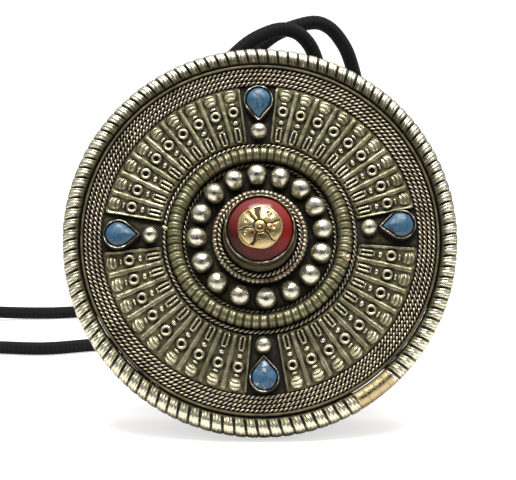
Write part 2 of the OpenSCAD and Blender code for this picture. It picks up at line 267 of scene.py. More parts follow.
class Recipe(Tree):
    """A Geometry Nodes tree with named sizes. It makes a shape in the wheel's own frame, in millimetres."""

    KINDS = {float: "NodeSocketFloat", int: "NodeSocketInt"}

    def __init__(self, name, **sizes):
        super().__init__(bpy.data.node_groups.new(name, "GeometryNodeTree"))
        self.sizes = sizes
        face = self.tree.interface
        face.new_socket("Shape", in_out="INPUT", socket_type="NodeSocketGeometry")
        face.new_socket("Shape", in_out="OUTPUT", socket_type="NodeSocketGeometry")
        self.ids = {}
        for key, value in sizes.items():
            socket = face.new_socket(key, in_out="INPUT", socket_type=self.KINDS[type(value)])
            self.ids[key] = socket.identifier
        self.given = self.node("NodeGroupInput")

    def size(self, key):
        return Value(self, self.given.outputs[key])

    def index(self):
        return Value(self, self.node("GeometryNodeInputIndex").outputs[0])

    def place(self):
        return self.node("GeometryNodeInputPosition").outputs[0]

    def moved(self, shape, offset):
        inputs = {"Geometry": shape, "Offset": offset}
        return self.node("GeometryNodeSetPosition", inputs=inputs).outputs[0]

    def marked(self, shape, name, value):
        settings = {"data_type": "FLOAT", "domain": "POINT"}
        inputs = {"Geometry": shape, "Name": name, "Value": value}
        return self.node("GeometryNodeStoreNamedAttribute", settings, inputs).outputs[0]

    def dented(self, shape, scale, detail):
        """Pushes the surface in and out at random, by up to half the size called Uneven."""
        inputs = {"Vector": self.place(), "Scale": scale, "Detail": detail}
        random = self.node("ShaderNodeTexNoise", inputs=inputs).outputs["Color"]
        centred = self.added(random, (-0.5, -0.5, -0.5))
        return self.moved(shape, self.scaled(centred, self.size("Uneven")))

    def made(self, shape, material):
        """Ends the tree."""
        real = self.node("GeometryNodeRealizeInstances", inputs={"Geometry": shape})
        inputs = {"Geometry": real.outputs[0], "Material": material}
        painted = self.node("GeometryNodeSetMaterial", inputs=inputs)
        self.node("NodeGroupOutput", inputs={0: painted.outputs[0]})
        return self

    def mesh(self, name, start, **sizes):
        """Runs the tree on the mesh start, and gives a plain mesh in the wheel's own frame."""
        holder = placed(name, start)
        modifier = holder.modifiers.new(name, "NODES")
        modifier.node_group = self.tree
        for key, value in {**self.sizes, **sizes}.items():
            modifier[self.ids[key]] = type(self.sizes[key])(value)
        graph = bpy.context.evaluated_depsgraph_get()
        plain = bpy.data.meshes.new_from_object(holder.evaluated_get(graph))
        holder.modifiers.remove(modifier)
        bpy.data.objects.remove(holder)
        return plain


# ---------------------------------------------------------------- plain meshes

WELD = 1e-5


def grid(name, points, wrap_rows=False, caps=False):
    """A skin over rows of points, an array of rows x points x 3, each row a closed loop."""
    points = np.asarray(points, float)
    rows, count = points.shape[:2]
    i = np.arange(rows if wrap_rows else rows - 1)
    k = np.arange(count)
    i, k = (a.ravel() for a in np.meshgrid(i, k, indexing="ij"))
    i2, k2 = (i + 1) % rows, (k + 1) % count
    faces = np.stack([i * count + k, i2 * count + k, i2 * count + k2, i * count + k2], 1).tolist()
    if caps:
        faces.append(list(range(count)))
        faces.append(list(range((rows - 1) * count, rows * count))[::-1])
    made = bpy.data.meshes.new(name)
    made.from_pydata(points.reshape(-1, 3).tolist(), [], faces)
    return outwards(made)


def outwards(mesh):
    """Merges doubles and turns every face of a closed mesh outwards."""
    work = bmesh.new()
    work.from_mesh(mesh)
    bmesh.ops.remove_doubles(work, verts=work.verts, dist=WELD)
    bmesh.ops.recalc_face_normals(work, faces=work.faces)
    work.to_mesh(mesh)
    work.free()
    mesh.polygons.foreach_set("use_smooth", [True] * len(mesh.polygons))
    return mesh


def spun(name, outline, steps, wobble=0.0, seed=0):
    """A closed outline of (radius, height) points turned round the axle. wobble makes its radius uneven."""
    outline = np.array(outline, float)
    a = np.arange(steps) / steps * tau
    uneven = 1 + wobble * (np.sin(3 * a + seed) + 0.6 * np.sin(7 * a + 2 * seed))
    rows = [
        np.stack([outline[:, 0] * u * cos(t), outline[:, 0] * u * sin(t), outline[:, 1]], 1)
        for t, u in zip(a, uneven)
    ]
    return grid(name, rows, wrap_rows=True)


def rounded(corners, radius):
    """A closed outline with its corners rounded, from (x, y, share of the radius) corners."""
    steps = 4
    out = []
    for i, corner in enumerate(corners):
        at = Vector(corner[:2])
        share = corner[2] if len(corner) > 2 else 1
        back = Vector(corners[i - 1][:2]) - at
        on = Vector(corners[(i + 1) % len(corners)][:2]) - at
        reach = min(radius * share, back.length * 0.49, on.length * 0.49)
        a, b = at + back.normalized() * reach, at + on.normalized() * reach
        for s in range(steps + 1) if reach else [0]:
            t = s / steps
            out.append(a * (1 - t) ** 2 + at * 2 * t * (1 - t) + b * t**2)
    return out


def mark(mesh, name, values):
    layer = mesh.attributes.get(name) or mesh.attributes.new(name, "FLOAT", "POINT")
    layer.data.foreach_set("value", np.asarray(values, np.float32))


def points_of(mesh):
    co = np.empty(len(mesh.vertices) * 3)
    mesh.vertices.foreach_get("co", co)
    return co.reshape(-1, 3)


def crest(mesh, low, high):
    """Marks how far each point stands towards the front: 0 at low, 1 at high."""
    mark(mesh, "crest", np.clip((points_of(mesh)[:, 2] - low) / (high - low), 0, 1))


def reshape(mesh, points):
    mesh.vertices.foreach_set("co", points.ravel())


def piece(name, mesh, body, slot, finish, *nodes, place=ON_FACE):
    """A finished piece: its mesh is put in place, and it rides on body and stands for nodes."""
    mesh.transform(place)
    mesh.materials.clear()
    mesh.materials.append(finish)
    mesh.polygons.foreach_set("use_smooth", [True] * len(mesh.polygons))
    mesh.name = name
    made = placed(name, mesh)
    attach(made, body)
    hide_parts(*nodes)
    return made


# ---------------------------------------------------------------- camera, floor and light

CAMERA_RISE = radians(7.9)
CAMERA_AWAY = 0.4
CAMERA_SHIFT = (-0.0037, -0.0009)
LENS = 145
SENSOR = 36
TABLE_HALF = 2.0
# In the silver's reflections the table is dark near the camera's foot and pale further off.
SHADED = (0.18, 0.34)
CAMERA_FOOT = -0.42


def looking(at, ahead):
    """Stands at a point and looks along ahead."""
    return Matrix.Translation(at) @ ahead.to_track_quat("-Z", "Y").to_matrix().to_4x4()


def camera():
    """Looks at the middle of the face from a little above the table."""
    lens = bpy.data.cameras.new("camera")
    lens.lens = LENS
    lens.sensor_width = SENSOR
    lens.shift_x, lens.shift_y = CAMERA_SHIFT
    made = placed("camera", lens)
    ahead = Vector((0, cos(CAMERA_RISE), -sin(CAMERA_RISE)))
    made.matrix_world = looking(HUB - CAMERA_AWAY * ahead, ahead)
    bpy.context.scene.camera = made


def overhead_lamp(at, size, power):
    """A big soft lamp that shines at the middle of the face."""
    light = bpy.data.lights.new("overhead", "AREA")
    light.shape = "RECTANGLE"
    light.size, light.size_y = size
    light.energy = power
    at = Vector(at)
    placed("overhead", light).matrix_world = looking(at, HUB - at)


def table():
    """White paper to lie on: evenly bright as seen, but dark in front of the wheel to the silver."""
    sheet = Finish("white_paper")
    x, y, _ = sheet.parts(sheet.node("ShaderNodeTexCoord").outputs["Object"])
    seen = Value(sheet, sheet.node("ShaderNodeLightPath").outputs["Is Camera Ray"])
    behind = y - CAMERA_FOOT
    pale = ((x * x + behind * behind) ** 0.5).step(*SHADED)
    tone = sheet.mix(seen + (1 - seen) * pale, (0.02, 0.02, 0.02), (0.80, 0.78, 0.76))
    glow = sheet.scaled((1, 1, 1), seen * 0.62)
    sheet.done({"Base Color": tone, "Emission Color": glow}, Roughness=0.9, Emission_Strength=1.0)
    half = TABLE_HALF
    corners = [(-half, -half, 0), (half, -half, 0), (half, half, 0), (-half, half, 0)]
    top = bpy.data.meshes.new("table")
    top.from_pydata(corners, [], [(0, 1, 2, 3)])
    top.materials.append(sheet.material)
    placed("table", top)


def room():
    """A pale room, brighter above and behind, with a dark patch in front that the silver reflects."""
    world = bpy.data.worlds.new("room")
    world.use_nodes = True
    sky = Tree(world.node_tree)
    sky.tree.nodes.clear()
    _, y, z = sky.parts(sky.node("ShaderNodeTexCoord").outputs["Generated"])
    above = z.step(0.1, 0.9)
    behind = y.step(-0.1, 0.9)
    dark_patch = ((0 - y) * 0.985 + z * 0.17).step(0.82, 0.95)
    dim = (0.12 + above * 0.62 + behind * 0.14) * (1 - dark_patch * 0.93)
    seen = Value(sky, sky.node("ShaderNodeLightPath").outputs["Is Camera Ray"])
    glow = sky.node("ShaderNodeBackground", inputs={"Strength": seen * 1.2 + (1 - seen) * dim})
    glow.inputs["Color"].default_value = (1, 1, 1, 1)
    sky.node("ShaderNodeOutputWorld", inputs={"Surface": glow.outputs[0]})
    bpy.context.scene.world = world


def studio():
    table()
    room()
    overhead_lamp(at=(0.02, -0.11, 0.62), size=(0.5, 0.42), power=5.0)
    bpy.context.scene.view_settings.view_transform = "Standard"


# ---------------------------------------------------------------- neck cord

CORD = 3.0
CORD_STEP = 0.34
BAIL_POINT = Vector((0, 21.24, 64.54))
FRONT_ROUTE = [
    (-0.5, 18.2, 65.4),
    (-2.6, 16.2, 64.4),
    (-4.6, 15.2, 62.8),
    (-7, 15, 62.5),
    (-8.8, 15, 64),
    (-9, 15.4, 66.4),
    (-7.7, 16, 68.5),
    (-5.5, 16.6, 70.5),
    (-2.6, 17.6, 73),
    (0.4, 18.8, 74.7),
    (4, 20.2, 75.8),
    (7.2, 21.4, 75.3),
    (9.6, 22.8, 73.3),
    (11.3, 24.5, 70.2),
    (13.2, 27.3, 64),
    (17, 31, 52),
    (19, 33.5, 38),
    (20.5, 37, 24),
    (21, 43, 12),
    (20, 52, 4),
    (15, 61, 1.7),
    (5, 67.5, 1.6),
    (-10, 70.8, 1.6),
    (-25, 70.4, 1.6),
    (-38, 67.4, 1.6),
    (-49, 62.9, 1.6),
    (-60.5, 64.4, 1.6),
    (-72, 66.8, 1.6),
    (-82, 66.4, 1.6),
]
REAR_ROUTE = [
    (0.2, 25, 63.1),
    (-0.8, 28.6, 63.8),
    (-2, 30.6, 66.8),
    (-1.1, 31.4, 70.4),
    (1.4, 32.2, 73),
    (5, 33.4, 75.1),
    (11, 35.2, 76.7),
    (14.6, 36.3, 75.6),
    (17.4, 37.3, 72.4),
    (19.2, 38.5, 68.6),
    (21, 40.6, 62),
    (23.8, 44.8, 50),
    (26, 49, 37),
    (27, 54, 24),
    (27.5, 62, 12),
    (26.5, 74, 4),
    (22.5, 86, 1.7),
    (14, 97, 1.6),
    (0, 106.3, 1.6),
    (-18, 111.6, 1.6),
    (-36, 113.6, 1.8),
    (-52, 110, 1.6),
    (-66.5, 108, 2.2),
    (-75, 106.2, 3.4),
    (-82, 103.9, 4.6),
]
COIL_AT = Vector((-90, 84.5, 0))
COIL_RADIUS = 18.5
COIL_PITCH = 3.1
COIL_TURNS = 1.25
# The last quarter turn goes this much further in, towards the knot.
COIL_TAIL = 3.2
COIL_STEPS = 24
KNOT = 8.4
KNOT_LOOP = 0.86
# How far the braid's strands travel in one turn round the cord, and how much they stand out of its radius.
BRAID_LAY = 4.2
BRAID_RELIEF = 0.045


def turns(side, height):
    """The coiled rest of a strand, from the coil's front (side -1) or back (side 1) to the knot."""
    out = []
    for i in range(round(COIL_TURNS * COIL_STEPS) + 1):
        turn = i / COIL_STEPS
        inwards = COIL_TAIL * max(0, turn - 1) / (COIL_TURNS - 1)
        r = COIL_RADIUS - COIL_PITCH * min(turn, 1) - inwards
        a = side * (pi / 2 + turn * tau)
        out.append(COIL_AT + Vector((r * cos(a), r * sin(a), height)))
    return out


def smooth_line(points):
    """A smooth curve through the points, with points at an even spacing."""
    p = np.array([tuple(q) for q in points])
    ends = np.concatenate([[p[0]], p, [p[-1]]])
    steps = 24
    t = np.arange(steps)[:, None] / steps
    spans = []
    for a, b, c, d in zip(ends, ends[1:], ends[2:], ends[3:]):
        cubic = (2 * a - 5 * b + 4 * c - d) * t * t + (3 * b - a - 3 * c + d) * t**3
        spans.append(b + (c - a) * t / 2 + cubic / 2)
    line = np.concatenate([*spans, p[-1:]])
    far = np.concatenate([[0], np.cumsum(np.linalg.norm(np.diff(line, axis=0), axis=1))])
    even = np.linspace(0, far[-1], int(far[-1] / CORD_STEP) + 1)
    return np.stack([np.interp(even, far, line[:, k]) for k in range(3)], 1), even


def cord_skin(name, line, far, sides=24, closed=False):
    """A round braided cord along a line: its strands cross in a diamond pattern that stands out."""
    ahead = np.roll(line, -1, 0) - np.roll(line, 1, 0) if closed else np.gradient(line, axis=0)
    ahead /= np.linalg.norm(ahead, axis=1)[:, None]
    side = np.empty_like(line)
    now = np.array([0.1, 0.2, 1.0])
    for i in range(len(line)):
        now = now - ahead[i] * (now @ ahead[i])
        now /= np.linalg.norm(now)
        side[i] = now
    other = np.cross(ahead, side)
    around = np.arange(sides) / sides * tau
    strands = 4
    u = strands * around[None, :]
    v = far[:, None] / BRAID_LAY * tau * 2
    weave = 0.5 + 0.5 * np.sin(u + v) * np.sin(u - v)
    radius = CORD / 2 * (1 - BRAID_RELIEF * (1 - weave))
    if not closed:
        from_end = np.minimum(far, far[-1] - far)
        radius = radius * (0.3 + 0.7 * np.sqrt(np.clip(from_end / 0.8, 0, 1))[:, None])
    across = np.cos(around)[None, :, None]
    up = np.sin(around)[None, :, None]
    out = across * side[:, None] + up * other[:, None]
    mesh = grid(name, line[:, None] + radius[:, :, None] * out, wrap_rows=closed, caps=not closed)
    mark(mesh, "weave", weave.ravel())
    return mesh


def knot(finish):
    """The knot that joins the cord's ends: a trefoil pulled together, beside the coil."""
    middle = COIL_AT + Vector((-COIL_RADIUS + COIL_PITCH + CORD / 2 + KNOT / 2, 0, KNOT / 2))
    t = np.linspace(0, tau, 260, endpoint=False)
    loop = np.stack([np.sin(t) + 2 * np.sin(2 * t), np.cos(t) - 2 * np.cos(2 * t), -1.6 * np.sin(3 * t)], 1)
    line = loop * KNOT_LOOP + np.array(middle)
    skin = cord_skin("knot", line, np.arange(len(t)) * 0.2, 16, closed=True)
    return piece("cord_knot_tied", skin, "hanger", "cord", finish, "cord_knot", place=ON_TABLE)


def cords(finish):
    """Both halves of the neck cord, from the bail's hole to the knot."""
    tied = knot(finish)
    halves = (
        ("cord_front_strand", FRONT_ROUTE, -1, 1.6, ("cord_front", "cord_coil"), [tied]),
        ("cord_rear_strand", REAR_ROUTE, 1, 4.6, ("cord_rear",), []),
    )
    for name, route, side, height, nodes, on_it in halves:
        points = [BAIL_POINT, *(Vector(p) for p in route), *turns(side, height)]
        line, far = smooth_line(points)
        skin = cord_skin(name, line, far)
        strand = piece(name, skin, "hanger", "cord", finish, *nodes, place=ON_TABLE)


def black_cord():
    """Black braided cotton: matt, with a little grey where the strands stand out."""
    paint = Finish("black_cord")
    weave = paint.attribute("weave")
    fluff = paint.noise(paint.where, 2.5, 4)
    worn = (weave * 0.7 + fluff * 0.5 - 0.35).clamped()
    colour = paint.mix(worn, (0.003, 0.003, 0.0035), (0.013, 0.012, 0.012))
    height = weave * 0.6 + fluff * 0.4
    paint.done(
        {
            "Base Color": colour,
            "Roughness": 0.95 - worn * 0.15,
            "Normal": paint.bump(height, 0.2 * MM, 0.7),
        },
        Sheen_Weight=0.03,
        Sheen_Roughness=0.6,
        Specular_IOR_Level=0.25,
    )
    return paint.material


# ---------------------------------------------------------------- metals

OLIVE = (0.20, 0.19, 0.085)
UMBER = (0.155, 0.105, 0.055)
# The near-black of the blackest tarnish, also used as painted shade on the rim's inside and on the plain
# strip.
BLACK_TARNISH_AND_SHADE = (0.012, 0.010, 0.008)
CREAM = (0.84, 0.77, 0.56)
SOLDER = (0.62, 0.46, 0.24)


def aged(name, bright, soot, crest, reach, rough=0.2, green=0.5):
    """Old silver: bright where it is rubbed, olive and brown in the hollows, black in the deepest ones.

    soot is how dark it is overall, crest how much its marked high parts stay bright, and reach how near,
    in millimetres, a neighbour shelters it. green is the share of olive in the tarnish.
    """
    paint = Finish(name)
    deep = paint.shelter(reach * MM)
    cloud = paint.noise(paint.where, 0.32, 4)
    speck = paint.noise(paint.where, 2.6, 5, 0.62)
    rubbed = paint.attribute("crest") * crest
    tarnish = (soot + deep * 1.5 - rubbed + (cloud - 0.5) * 0.9 + (speck - 0.5) * 0.75).clamped()
    hue = (paint.noise(paint.where, 0.5, 3) * 0.7 + speck * 0.5 + green - 0.6).step(0.35, 0.65)
    colour = paint.mix(hue, UMBER, OLIVE)
    colour = paint.mix(tarnish.step(0.1, 0.55), bright, colour)
    colour = paint.mix((tarnish + deep * 0.4).step(0.62, 1.05), colour, BLACK_TARNISH_AND_SHADE)
    colour = paint.mix(paint.attribute("solder") * 0.75, colour, SOLDER)
    scratch = paint.noise(paint.stretched((9, 1.4, 3)), 1.0, 3)
    height = speck * 0.7 + paint.noise(paint.where, 1.1, 3) + scratch * 0.25
    paint.done(
        {
            "Base Color": colour,
            "Roughness": (rough + tarnish * 0.38 + (speck - 0.5) * 0.12).clamped(),
            "Metallic": (1.08 - tarnish * 0.62).clamped(),
            "Normal": paint.bump(height, 0.12 * MM, 0.55),
        }
    )
    return paint.material


def sheet_silver(name, bright, soot, hammer, direction):
    """Rolled silver sheet, planished by hand, dull, and scratched across the direction's largest part."""
    paint = Finish(name)
    deep = paint.shelter(2.2 * MM)
    cloud = paint.noise(paint.where, 0.16, 5)
    speck = paint.noise(paint.where, 3.0, 5, 0.65)
    tarnish = (soot + deep * 1.2 + (cloud - 0.5) * 0.8 + (speck - 0.5) * 0.7).clamped()
    colour = paint.mix(tarnish.step(0.1, 0.6), bright, (0.20, 0.165, 0.09))
    colour = paint.mix(tarnish.step(0.62, 1.1), colour, (0.03, 0.026, 0.02))
    dents = paint.cells(paint.where, 0.36, "SMOOTH_F1")
    scratch = paint.noise(paint.stretched(direction), 1.0, 2, 0.7)
    height = dents * hammer + speck * 0.12 + scratch * 0.1
    paint.done(
        {
            "Base Color": colour,
            "Roughness": (0.27 + tarnish * 0.34 + (scratch - 0.5) * 0.2).clamped(),
            "Metallic": (1.05 - tarnish * 0.5).clamped(),
            "Normal": paint.bump(height, 0.5 * MM, 0.6),
        }
    )
    return paint.material


def brass_metal(name, bright, soot):
    """Turned brass, browned, with fine turning marks round the axle."""
    paint = Finish(name)
    speck = paint.noise(paint.where, 1.7, 5)
    tarnish = (soot + paint.shelter(1.2 * MM) + (speck - 0.5) * 1.1).clamped()
    colour = paint.mix(tarnish.step(0.15, 0.9), bright, (0.12, 0.07, 0.03))
    marks = (paint.radius() * 26 + speck * 2).sin() * 0.5
    paint.done(
        {
            "Base Color": colour,
            "Roughness": (0.24 + tarnish * 0.35).clamped(),
            "Normal": paint.bump(marks * 0.25 + speck, 0.08 * MM, 0.5),
        },
        Metallic=1.0,
    )
    return paint.material


def gold_leaf():
    """Thin embossed gold over the coral: bright on the petals, red-brown in the chased lines."""
    paint = Finish("embossed_gold")
    low = 1 - paint.attribute("crest")
    speck = paint.noise(paint.where, 2.2, 4)
    dirt = (low * 1.5 + paint.shelter(0.5 * MM) * 0.8 + (speck - 0.5) * 0.7 - 0.35).clamped()
    paler = paint.noise(paint.where, 0.6, 2).step(0.3, 0.7)
    colour = paint.mix(paler, (0.66, 0.44, 0.17), (0.70, 0.60, 0.33))
    colour = paint.mix(dirt.step(0.2, 0.8), colour, (0.055, 0.036, 0.014))
    paint.done(
        {
            "Base Color": colour,
            "Roughness": (0.24 + dirt * 0.4 + (speck - 0.5) * 0.15).clamped(),
            "Metallic": 1 - dirt * 0.6,
            "Normal": paint.bump(speck, 0.12 * MM, 0.6),
        }
    )
    return paint.material


# ---------------------------------------------------------------- stones, paper, thread


def coral():
    """Polished red coral with pale and dark flecks and browner clouds; painted shade darkens it towards the
    lower left and the dome's edge, and painted light makes it redder to the right.
    """
    paint = Finish("red_coral")
    x, y, _ = paint.parts(paint.where)
    cloud = paint.noise(paint.where, 0.28, 4)
    fleck = paint.noise(paint.where, 1.9, 4, 0.7)
    # Painted shade towards the dome's edge and the lower left, and painted light towards the right; brown
    # below mixes these with the coral's own browner clouds.
    edge = paint.radius().step(4.8, 6.6)
    painted_light_right = x.step(0, 6)
    painted_shade_slope = (0 - x) * 0.05 - y * 0.07
    brown = (painted_shade_slope + cloud * 1.5 + edge * 0.45 - painted_light_right * 0.25 - 0.45).clamped()
    colour = paint.mix(brown, (0.22, 0.012, 0.008), (0.035, 0.010, 0.008))
    colour = paint.mix((fleck - 0.5).step(0.1, 0.25) * 0.6, colour, (0.42, 0.09, 0.05))
    # Painted shade: near-black where the bezel and the gold rosette stand close.
    colour = paint.mix(paint.shelter(0.9 * MM).step(0.2, 0.9), colour, (0.03, 0.008, 0.006))
    paint.done(
        {
            "Base Color": colour,
            "Roughness": 0.2 + fleck * 0.1,
            # Painted highlight: the coat is strong only on the upper part, so the top shines and the lower
            # part reflects little.
            "Coat Weight": y.step(-1.0, 3.5) * 0.7 + 0.05,
            "Normal": paint.bump(cloud + fleck * 0.2, 0.4 * MM, 0.35),
        },
        Coat_Roughness=0.08,
        Specular_IOR_Level=0.22,
    )
    return paint.material


def turquoise_stone(name, offset, pale):
    """Blue turquoise with a dark matrix in thin veins. offset picks its part of the rock."""
    paint = Finish(name)
    where = paint.added(paint.where, (offset, offset * 0.7, 0))
    cloud = paint.noise(where, 0.55, 4)
    bent = paint.added(where, paint.vector(cloud * 2.2, cloud, 0))
    vein = 1 - paint.cells(bent, 0.36, "DISTANCE_TO_EDGE").step(0.0, 0.05)
    vein = vein * (cloud - 0.36).step(0, 0.2)
    colour = paint.mix((cloud * 1.6 - 0.4).clamped(), (0.022, 0.085, 0.165), (0.075, 0.185, 0.28))
    colour = paint.mix(vein, colour, (0.012, 0.022, 0.035))
    patch = (paint.noise(where, 0.42, 3, 0.6) - 0.56).step(0, 0.03) * pale
    colour = paint.mix(patch, colour, (0.42, 0.47, 0.50))
    # Painted shade: near-black where the bezel wall stands close round the stone.
    colour = paint.mix(paint.shelter(1.1 * MM).step(0.15, 0.7), colour, (0.010, 0.016, 0.020))
    paint.done(
        {
            "Base Color": colour,
            "Roughness": 0.3 + cloud * 0.12 + vein * 0.2,
            "Normal": paint.bump(cloud - vein * 0.3, 0.2 * MM, 0.4),
        },
        Coat_Weight=0.25,
        Coat_Roughness=0.18,
    )
    return paint.material


def paper():
    """Rolled paper: the edges of its turns show at the ends, with worn brown spots."""
    paint = Finish("rolled_paper")
    spot = paint.noise(paint.where, 0.5, 5)
    sheet_edges = (paint.radius() * 21 + spot * 1.5).sin() * 0.5 + 0.5
    colour = paint.mix(sheet_edges * 0.5, (0.60, 0.49, 0.30), (0.36, 0.27, 0.15))
    colour = paint.mix((spot - 0.5).step(0.02, 0.25), colour, (0.30, 0.19, 0.09))
    paint.done(
        {
            "Base Color": colour,
            "Roughness": 0.85 + spot * 0.1,
            "Normal": paint.bump(sheet_edges + spot, 0.1 * MM, 0.6),
        }
    )
    return paint.material


def red_thread():
    """The thread tied round the scroll, wound in even turns."""
    paint = Finish("red_thread")
    _, _, z = paint.parts(paint.where)
    lines = (z * 11).sin() * 0.5 + 0.5
    fuzz = paint.noise(paint.where, 3.5, 4)
    colour = paint.mix(lines * 0.6 + fuzz * 0.3, (0.06, 0.008, 0.006), (0.30, 0.035, 0.022))
    paint.done(
        {
            "Base Color": colour,
            "Roughness": 0.85 + fuzz * 0.1,
            "Normal": paint.bump(lines + fuzz * 0.4, 0.2 * MM, 0.8),
        },
        Sheen_Weight=0.3,
    )
    return paint.material


# ---------------------------------------------------------------- what repeats round the axle


def repeater(name, material, uneven, coarse):
    """Turns copies of a slice round the axle, joins them, and makes the surface a little uneven."""
    recipe = Recipe(name, Count=1, Step=0.0, First=0.0, Uneven=uneven, Coarse=coarse)
    points = recipe.node("GeometryNodePoints", inputs={"Count": recipe.size("Count")})
    turned = recipe.index() * recipe.size("Step") + recipe.size("First")
    inputs = {
        "Points": points.outputs[0],
        "Instance": recipe.given.outputs["Shape"],
        "Rotation": recipe.vector(0, 0, turned),
    }
    copies = recipe.node("GeometryNodeInstanceOnPoints", inputs=inputs)
    real = recipe.node("GeometryNodeRealizeInstances", inputs={"Geometry": copies.outputs[0]})
    inputs = {"Geometry": real.outputs[0], "Distance": 0.002}
    joined = recipe.node("GeometryNodeMergeByDistance", inputs=inputs)
    return recipe.made(recipe.dented(joined.outputs[0], recipe.size("Coarse"), 2.0), material)


def slice_of(name, angles, outlines, crests):
    """One slice: an outline of (radius, height) points at each angle, left open at both cuts."""
    rows = [np.stack([o[:, 0] * cos(a), o[:, 0] * sin(a), o[:, 1]], 1) for a, o in zip(angles, outlines)]
    made = grid(name, rows)
    mark(made, "crest", np.asarray(crests).ravel())
    return made


def reed_slice(name, outline, normals, count, depth, power, lines, line_count, steps, flush=0.0):
    """One reed of a reeded ring, with a groove at each side and fine lines along it.

    depth is how far the groove goes in, power how narrow it is, lines how deep the fine lines are, and
    flush how much less the groove goes in at the outer edge.
    """
    t = np.linspace(0, 1, steps + 1)
    groove = np.abs(2 * t - 1) ** power
    fine = 0.5 - 0.5 * np.cos(tau * line_count * t)
    cut = depth * groove + lines * (1 - fine) * (1 - groove)
    outer_side = np.clip((normals[:, :1] + 0.85) / 0.4, 0, 1)
    outer_side = outer_side * (1 - flush * np.clip((normals[:, :1] - 0.5) / 0.5, 0, 1))
    outlines = [outline - normals * outer_side * c for c in cut]
    crests = [np.full(len(outline), (1 - g) * (0.55 + 0.45 * f)) for g, f in zip(groove, fine)]
    return slice_of(name, (t - 0.5) * tau / count, outlines, crests)


def wire_outline(radius, height, size, steps):
    """Points round a wire of that diameter, and the way out at each point."""
    a = np.arange(steps) / steps * tau
    out = np.stack([np.cos(a), np.sin(a)], 1)
    return np.array([radius, height]) + out * size / 2, out


def twist_slice(name, radius, height, size, count, flat, around):
    """One half twist of two strands of wire: flat is the square of how narrow the pair is at its waist."""
    steps = 6
    a = np.arange(around) / around * tau
    outlines, crests = [], []
    for i in range(steps + 1):
        lobe = np.cos(a - pi * i / steps) ** 2
        r = size / 2 * np.sqrt(flat + (1 - flat) * lobe)
        outlines.append(np.stack([radius + r * np.cos(a), height + r * np.sin(a)], 1))
        crests.append(lobe)
    return slice_of(name, np.linspace(-0.5, 0.5, steps + 1) * tau / count, outlines, crests)


def twisted(node, count, material, body, slot):
    """Two strands twisted into a ring, in place of the CAD node. count is the number of half twists."""
    ring = ring_of(node)
    radius, height = (ring.inner + ring.outer) / 2, (ring.front + ring.back) / 2
    part = twist_slice(node, radius, height, ring.front - ring.back, count, 0.0625, 14)
    recipe = repeater(node, material, 0.05, 1.3)
    mesh = outwards(recipe.mesh(node, part, Count=count, Step=tau / count))
    return piece(node + "_twisted", mesh, body, slot, material, node)


def blob(mesh, angle, radius, height, size):
    """Adds a drop of solder that ran onto a ring."""
    work = bmesh.new()
    work.from_mesh(mesh)
    flattened = Matrix.Diagonal((1, 0.8, 0.55, 1))
    place = Matrix.Rotation(angle, 4, "Z") @ Matrix.Translation((radius, 0, height)) @ flattened
    before = len(work.verts)
    bmesh.ops.create_icosphere(work, subdivisions=3, radius=size, matrix=place)
    work.verts.ensure_lookup_table()
    for v in work.verts[before:]:
        v.co += 0.12 * size * Vector((sin(5 * v.co.y), sin(4 * v.co.x + 1), sin(6 * v.co.x)))
    crest_layer = work.verts.layers.float["crest"]
    solder = work.verts.layers.float.get("solder") or work.verts.layers.float.new("solder")
    for v in work.verts[before:]:
        v[crest_layer] = 0.75
        v[solder] = 1
    work.to_mesh(mesh)
    work.free()


# ---------------------------------------------------------------- border of the face

RIM_REEDS = 109
# How much wider the reeds stand at the bottom than at the top, and how far they slant in each millimetre.
RIM_WIDER = 0.045
RIM_SLANT = radians(0.34)
# The stretch of the rim that was soldered and filed flat: its middle, half width and edges in degrees.
REPAIR_AT = -53.5
REPAIR_HALF = 6.8
REPAIR_EDGE = 1.2
REPAIR_SUNK = 0.93


def wider_below(p, share, slant=0.0):
    """Spaces reeds wider at the bottom of the face than at the top, and slants them so much in each mm."""
    r, a = around_axle(p)
    a = a + share * np.cos(a) + slant * (r - (r.max() + r.min()) / 2)
    return np.stack([r * np.cos(a), r * np.sin(a), p[:, 2]], 1)


def rim(material):
    """The reeded rim: broad reeds with fine lines on them, and one plain stretch where it was soldered."""
    ring = ring_of("rim_ring")
    width = ring.outer - ring.inner
    middle = (ring.outer + ring.inner) / 2
    front, back = ring.front - width / 2, ring.back + width / 2
    on_front, on_back = 22, 14
    a = np.radians([*np.linspace(0, 180, on_front), *np.linspace(180, 360, on_back)])
    centre = np.array([(middle, front)] * on_front + [(middle, back)] * on_back)
    out = np.stack([np.cos(a), np.sin(a)], 1)
    outline = centre + out * width / 2
    fine = {"lines": 0.13, "line_count": 3, "steps": 18, "flush": 0.6}
    part = reed_slice("reed", outline, out, RIM_REEDS, 0.6, 4.0, **fine)
    recipe = repeater("rim_reeds", material, 0.22, 0.5)
    mesh = outwards(recipe.mesh("rim_reeds", part, Count=RIM_REEDS, Step=tau / RIM_REEDS))
    p = wider_below(points_of(mesh), RIM_WIDER, RIM_SLANT)
    r, angle = around_axle(p)
    from_edge = REPAIR_HALF - np.abs(np.degrees(angle) - REPAIR_AT)
    share = np.clip(from_edge / REPAIR_EDGE, 0, 1)
    level = np.clip(p[:, 2], back, front)
    away = np.hypot(r - middle, p[:, 2] - level)
    worn = width / 2 * REPAIR_SUNK
    new_r = middle + (r - middle) / away * worn
    new_z = level + (p[:, 2] - level) / away * worn
    k = 1 + share * (new_r / r - 1)
    p = np.stack([p[:, 0] * k, p[:, 1] * k, p[:, 2] + share * (new_z - p[:, 2])], 1)
    reshape(mesh, p)
    mark(mesh, "solder", share)
    return piece("rim_reeds", mesh, "wheel", "aged_silver", material, "rim_ring")


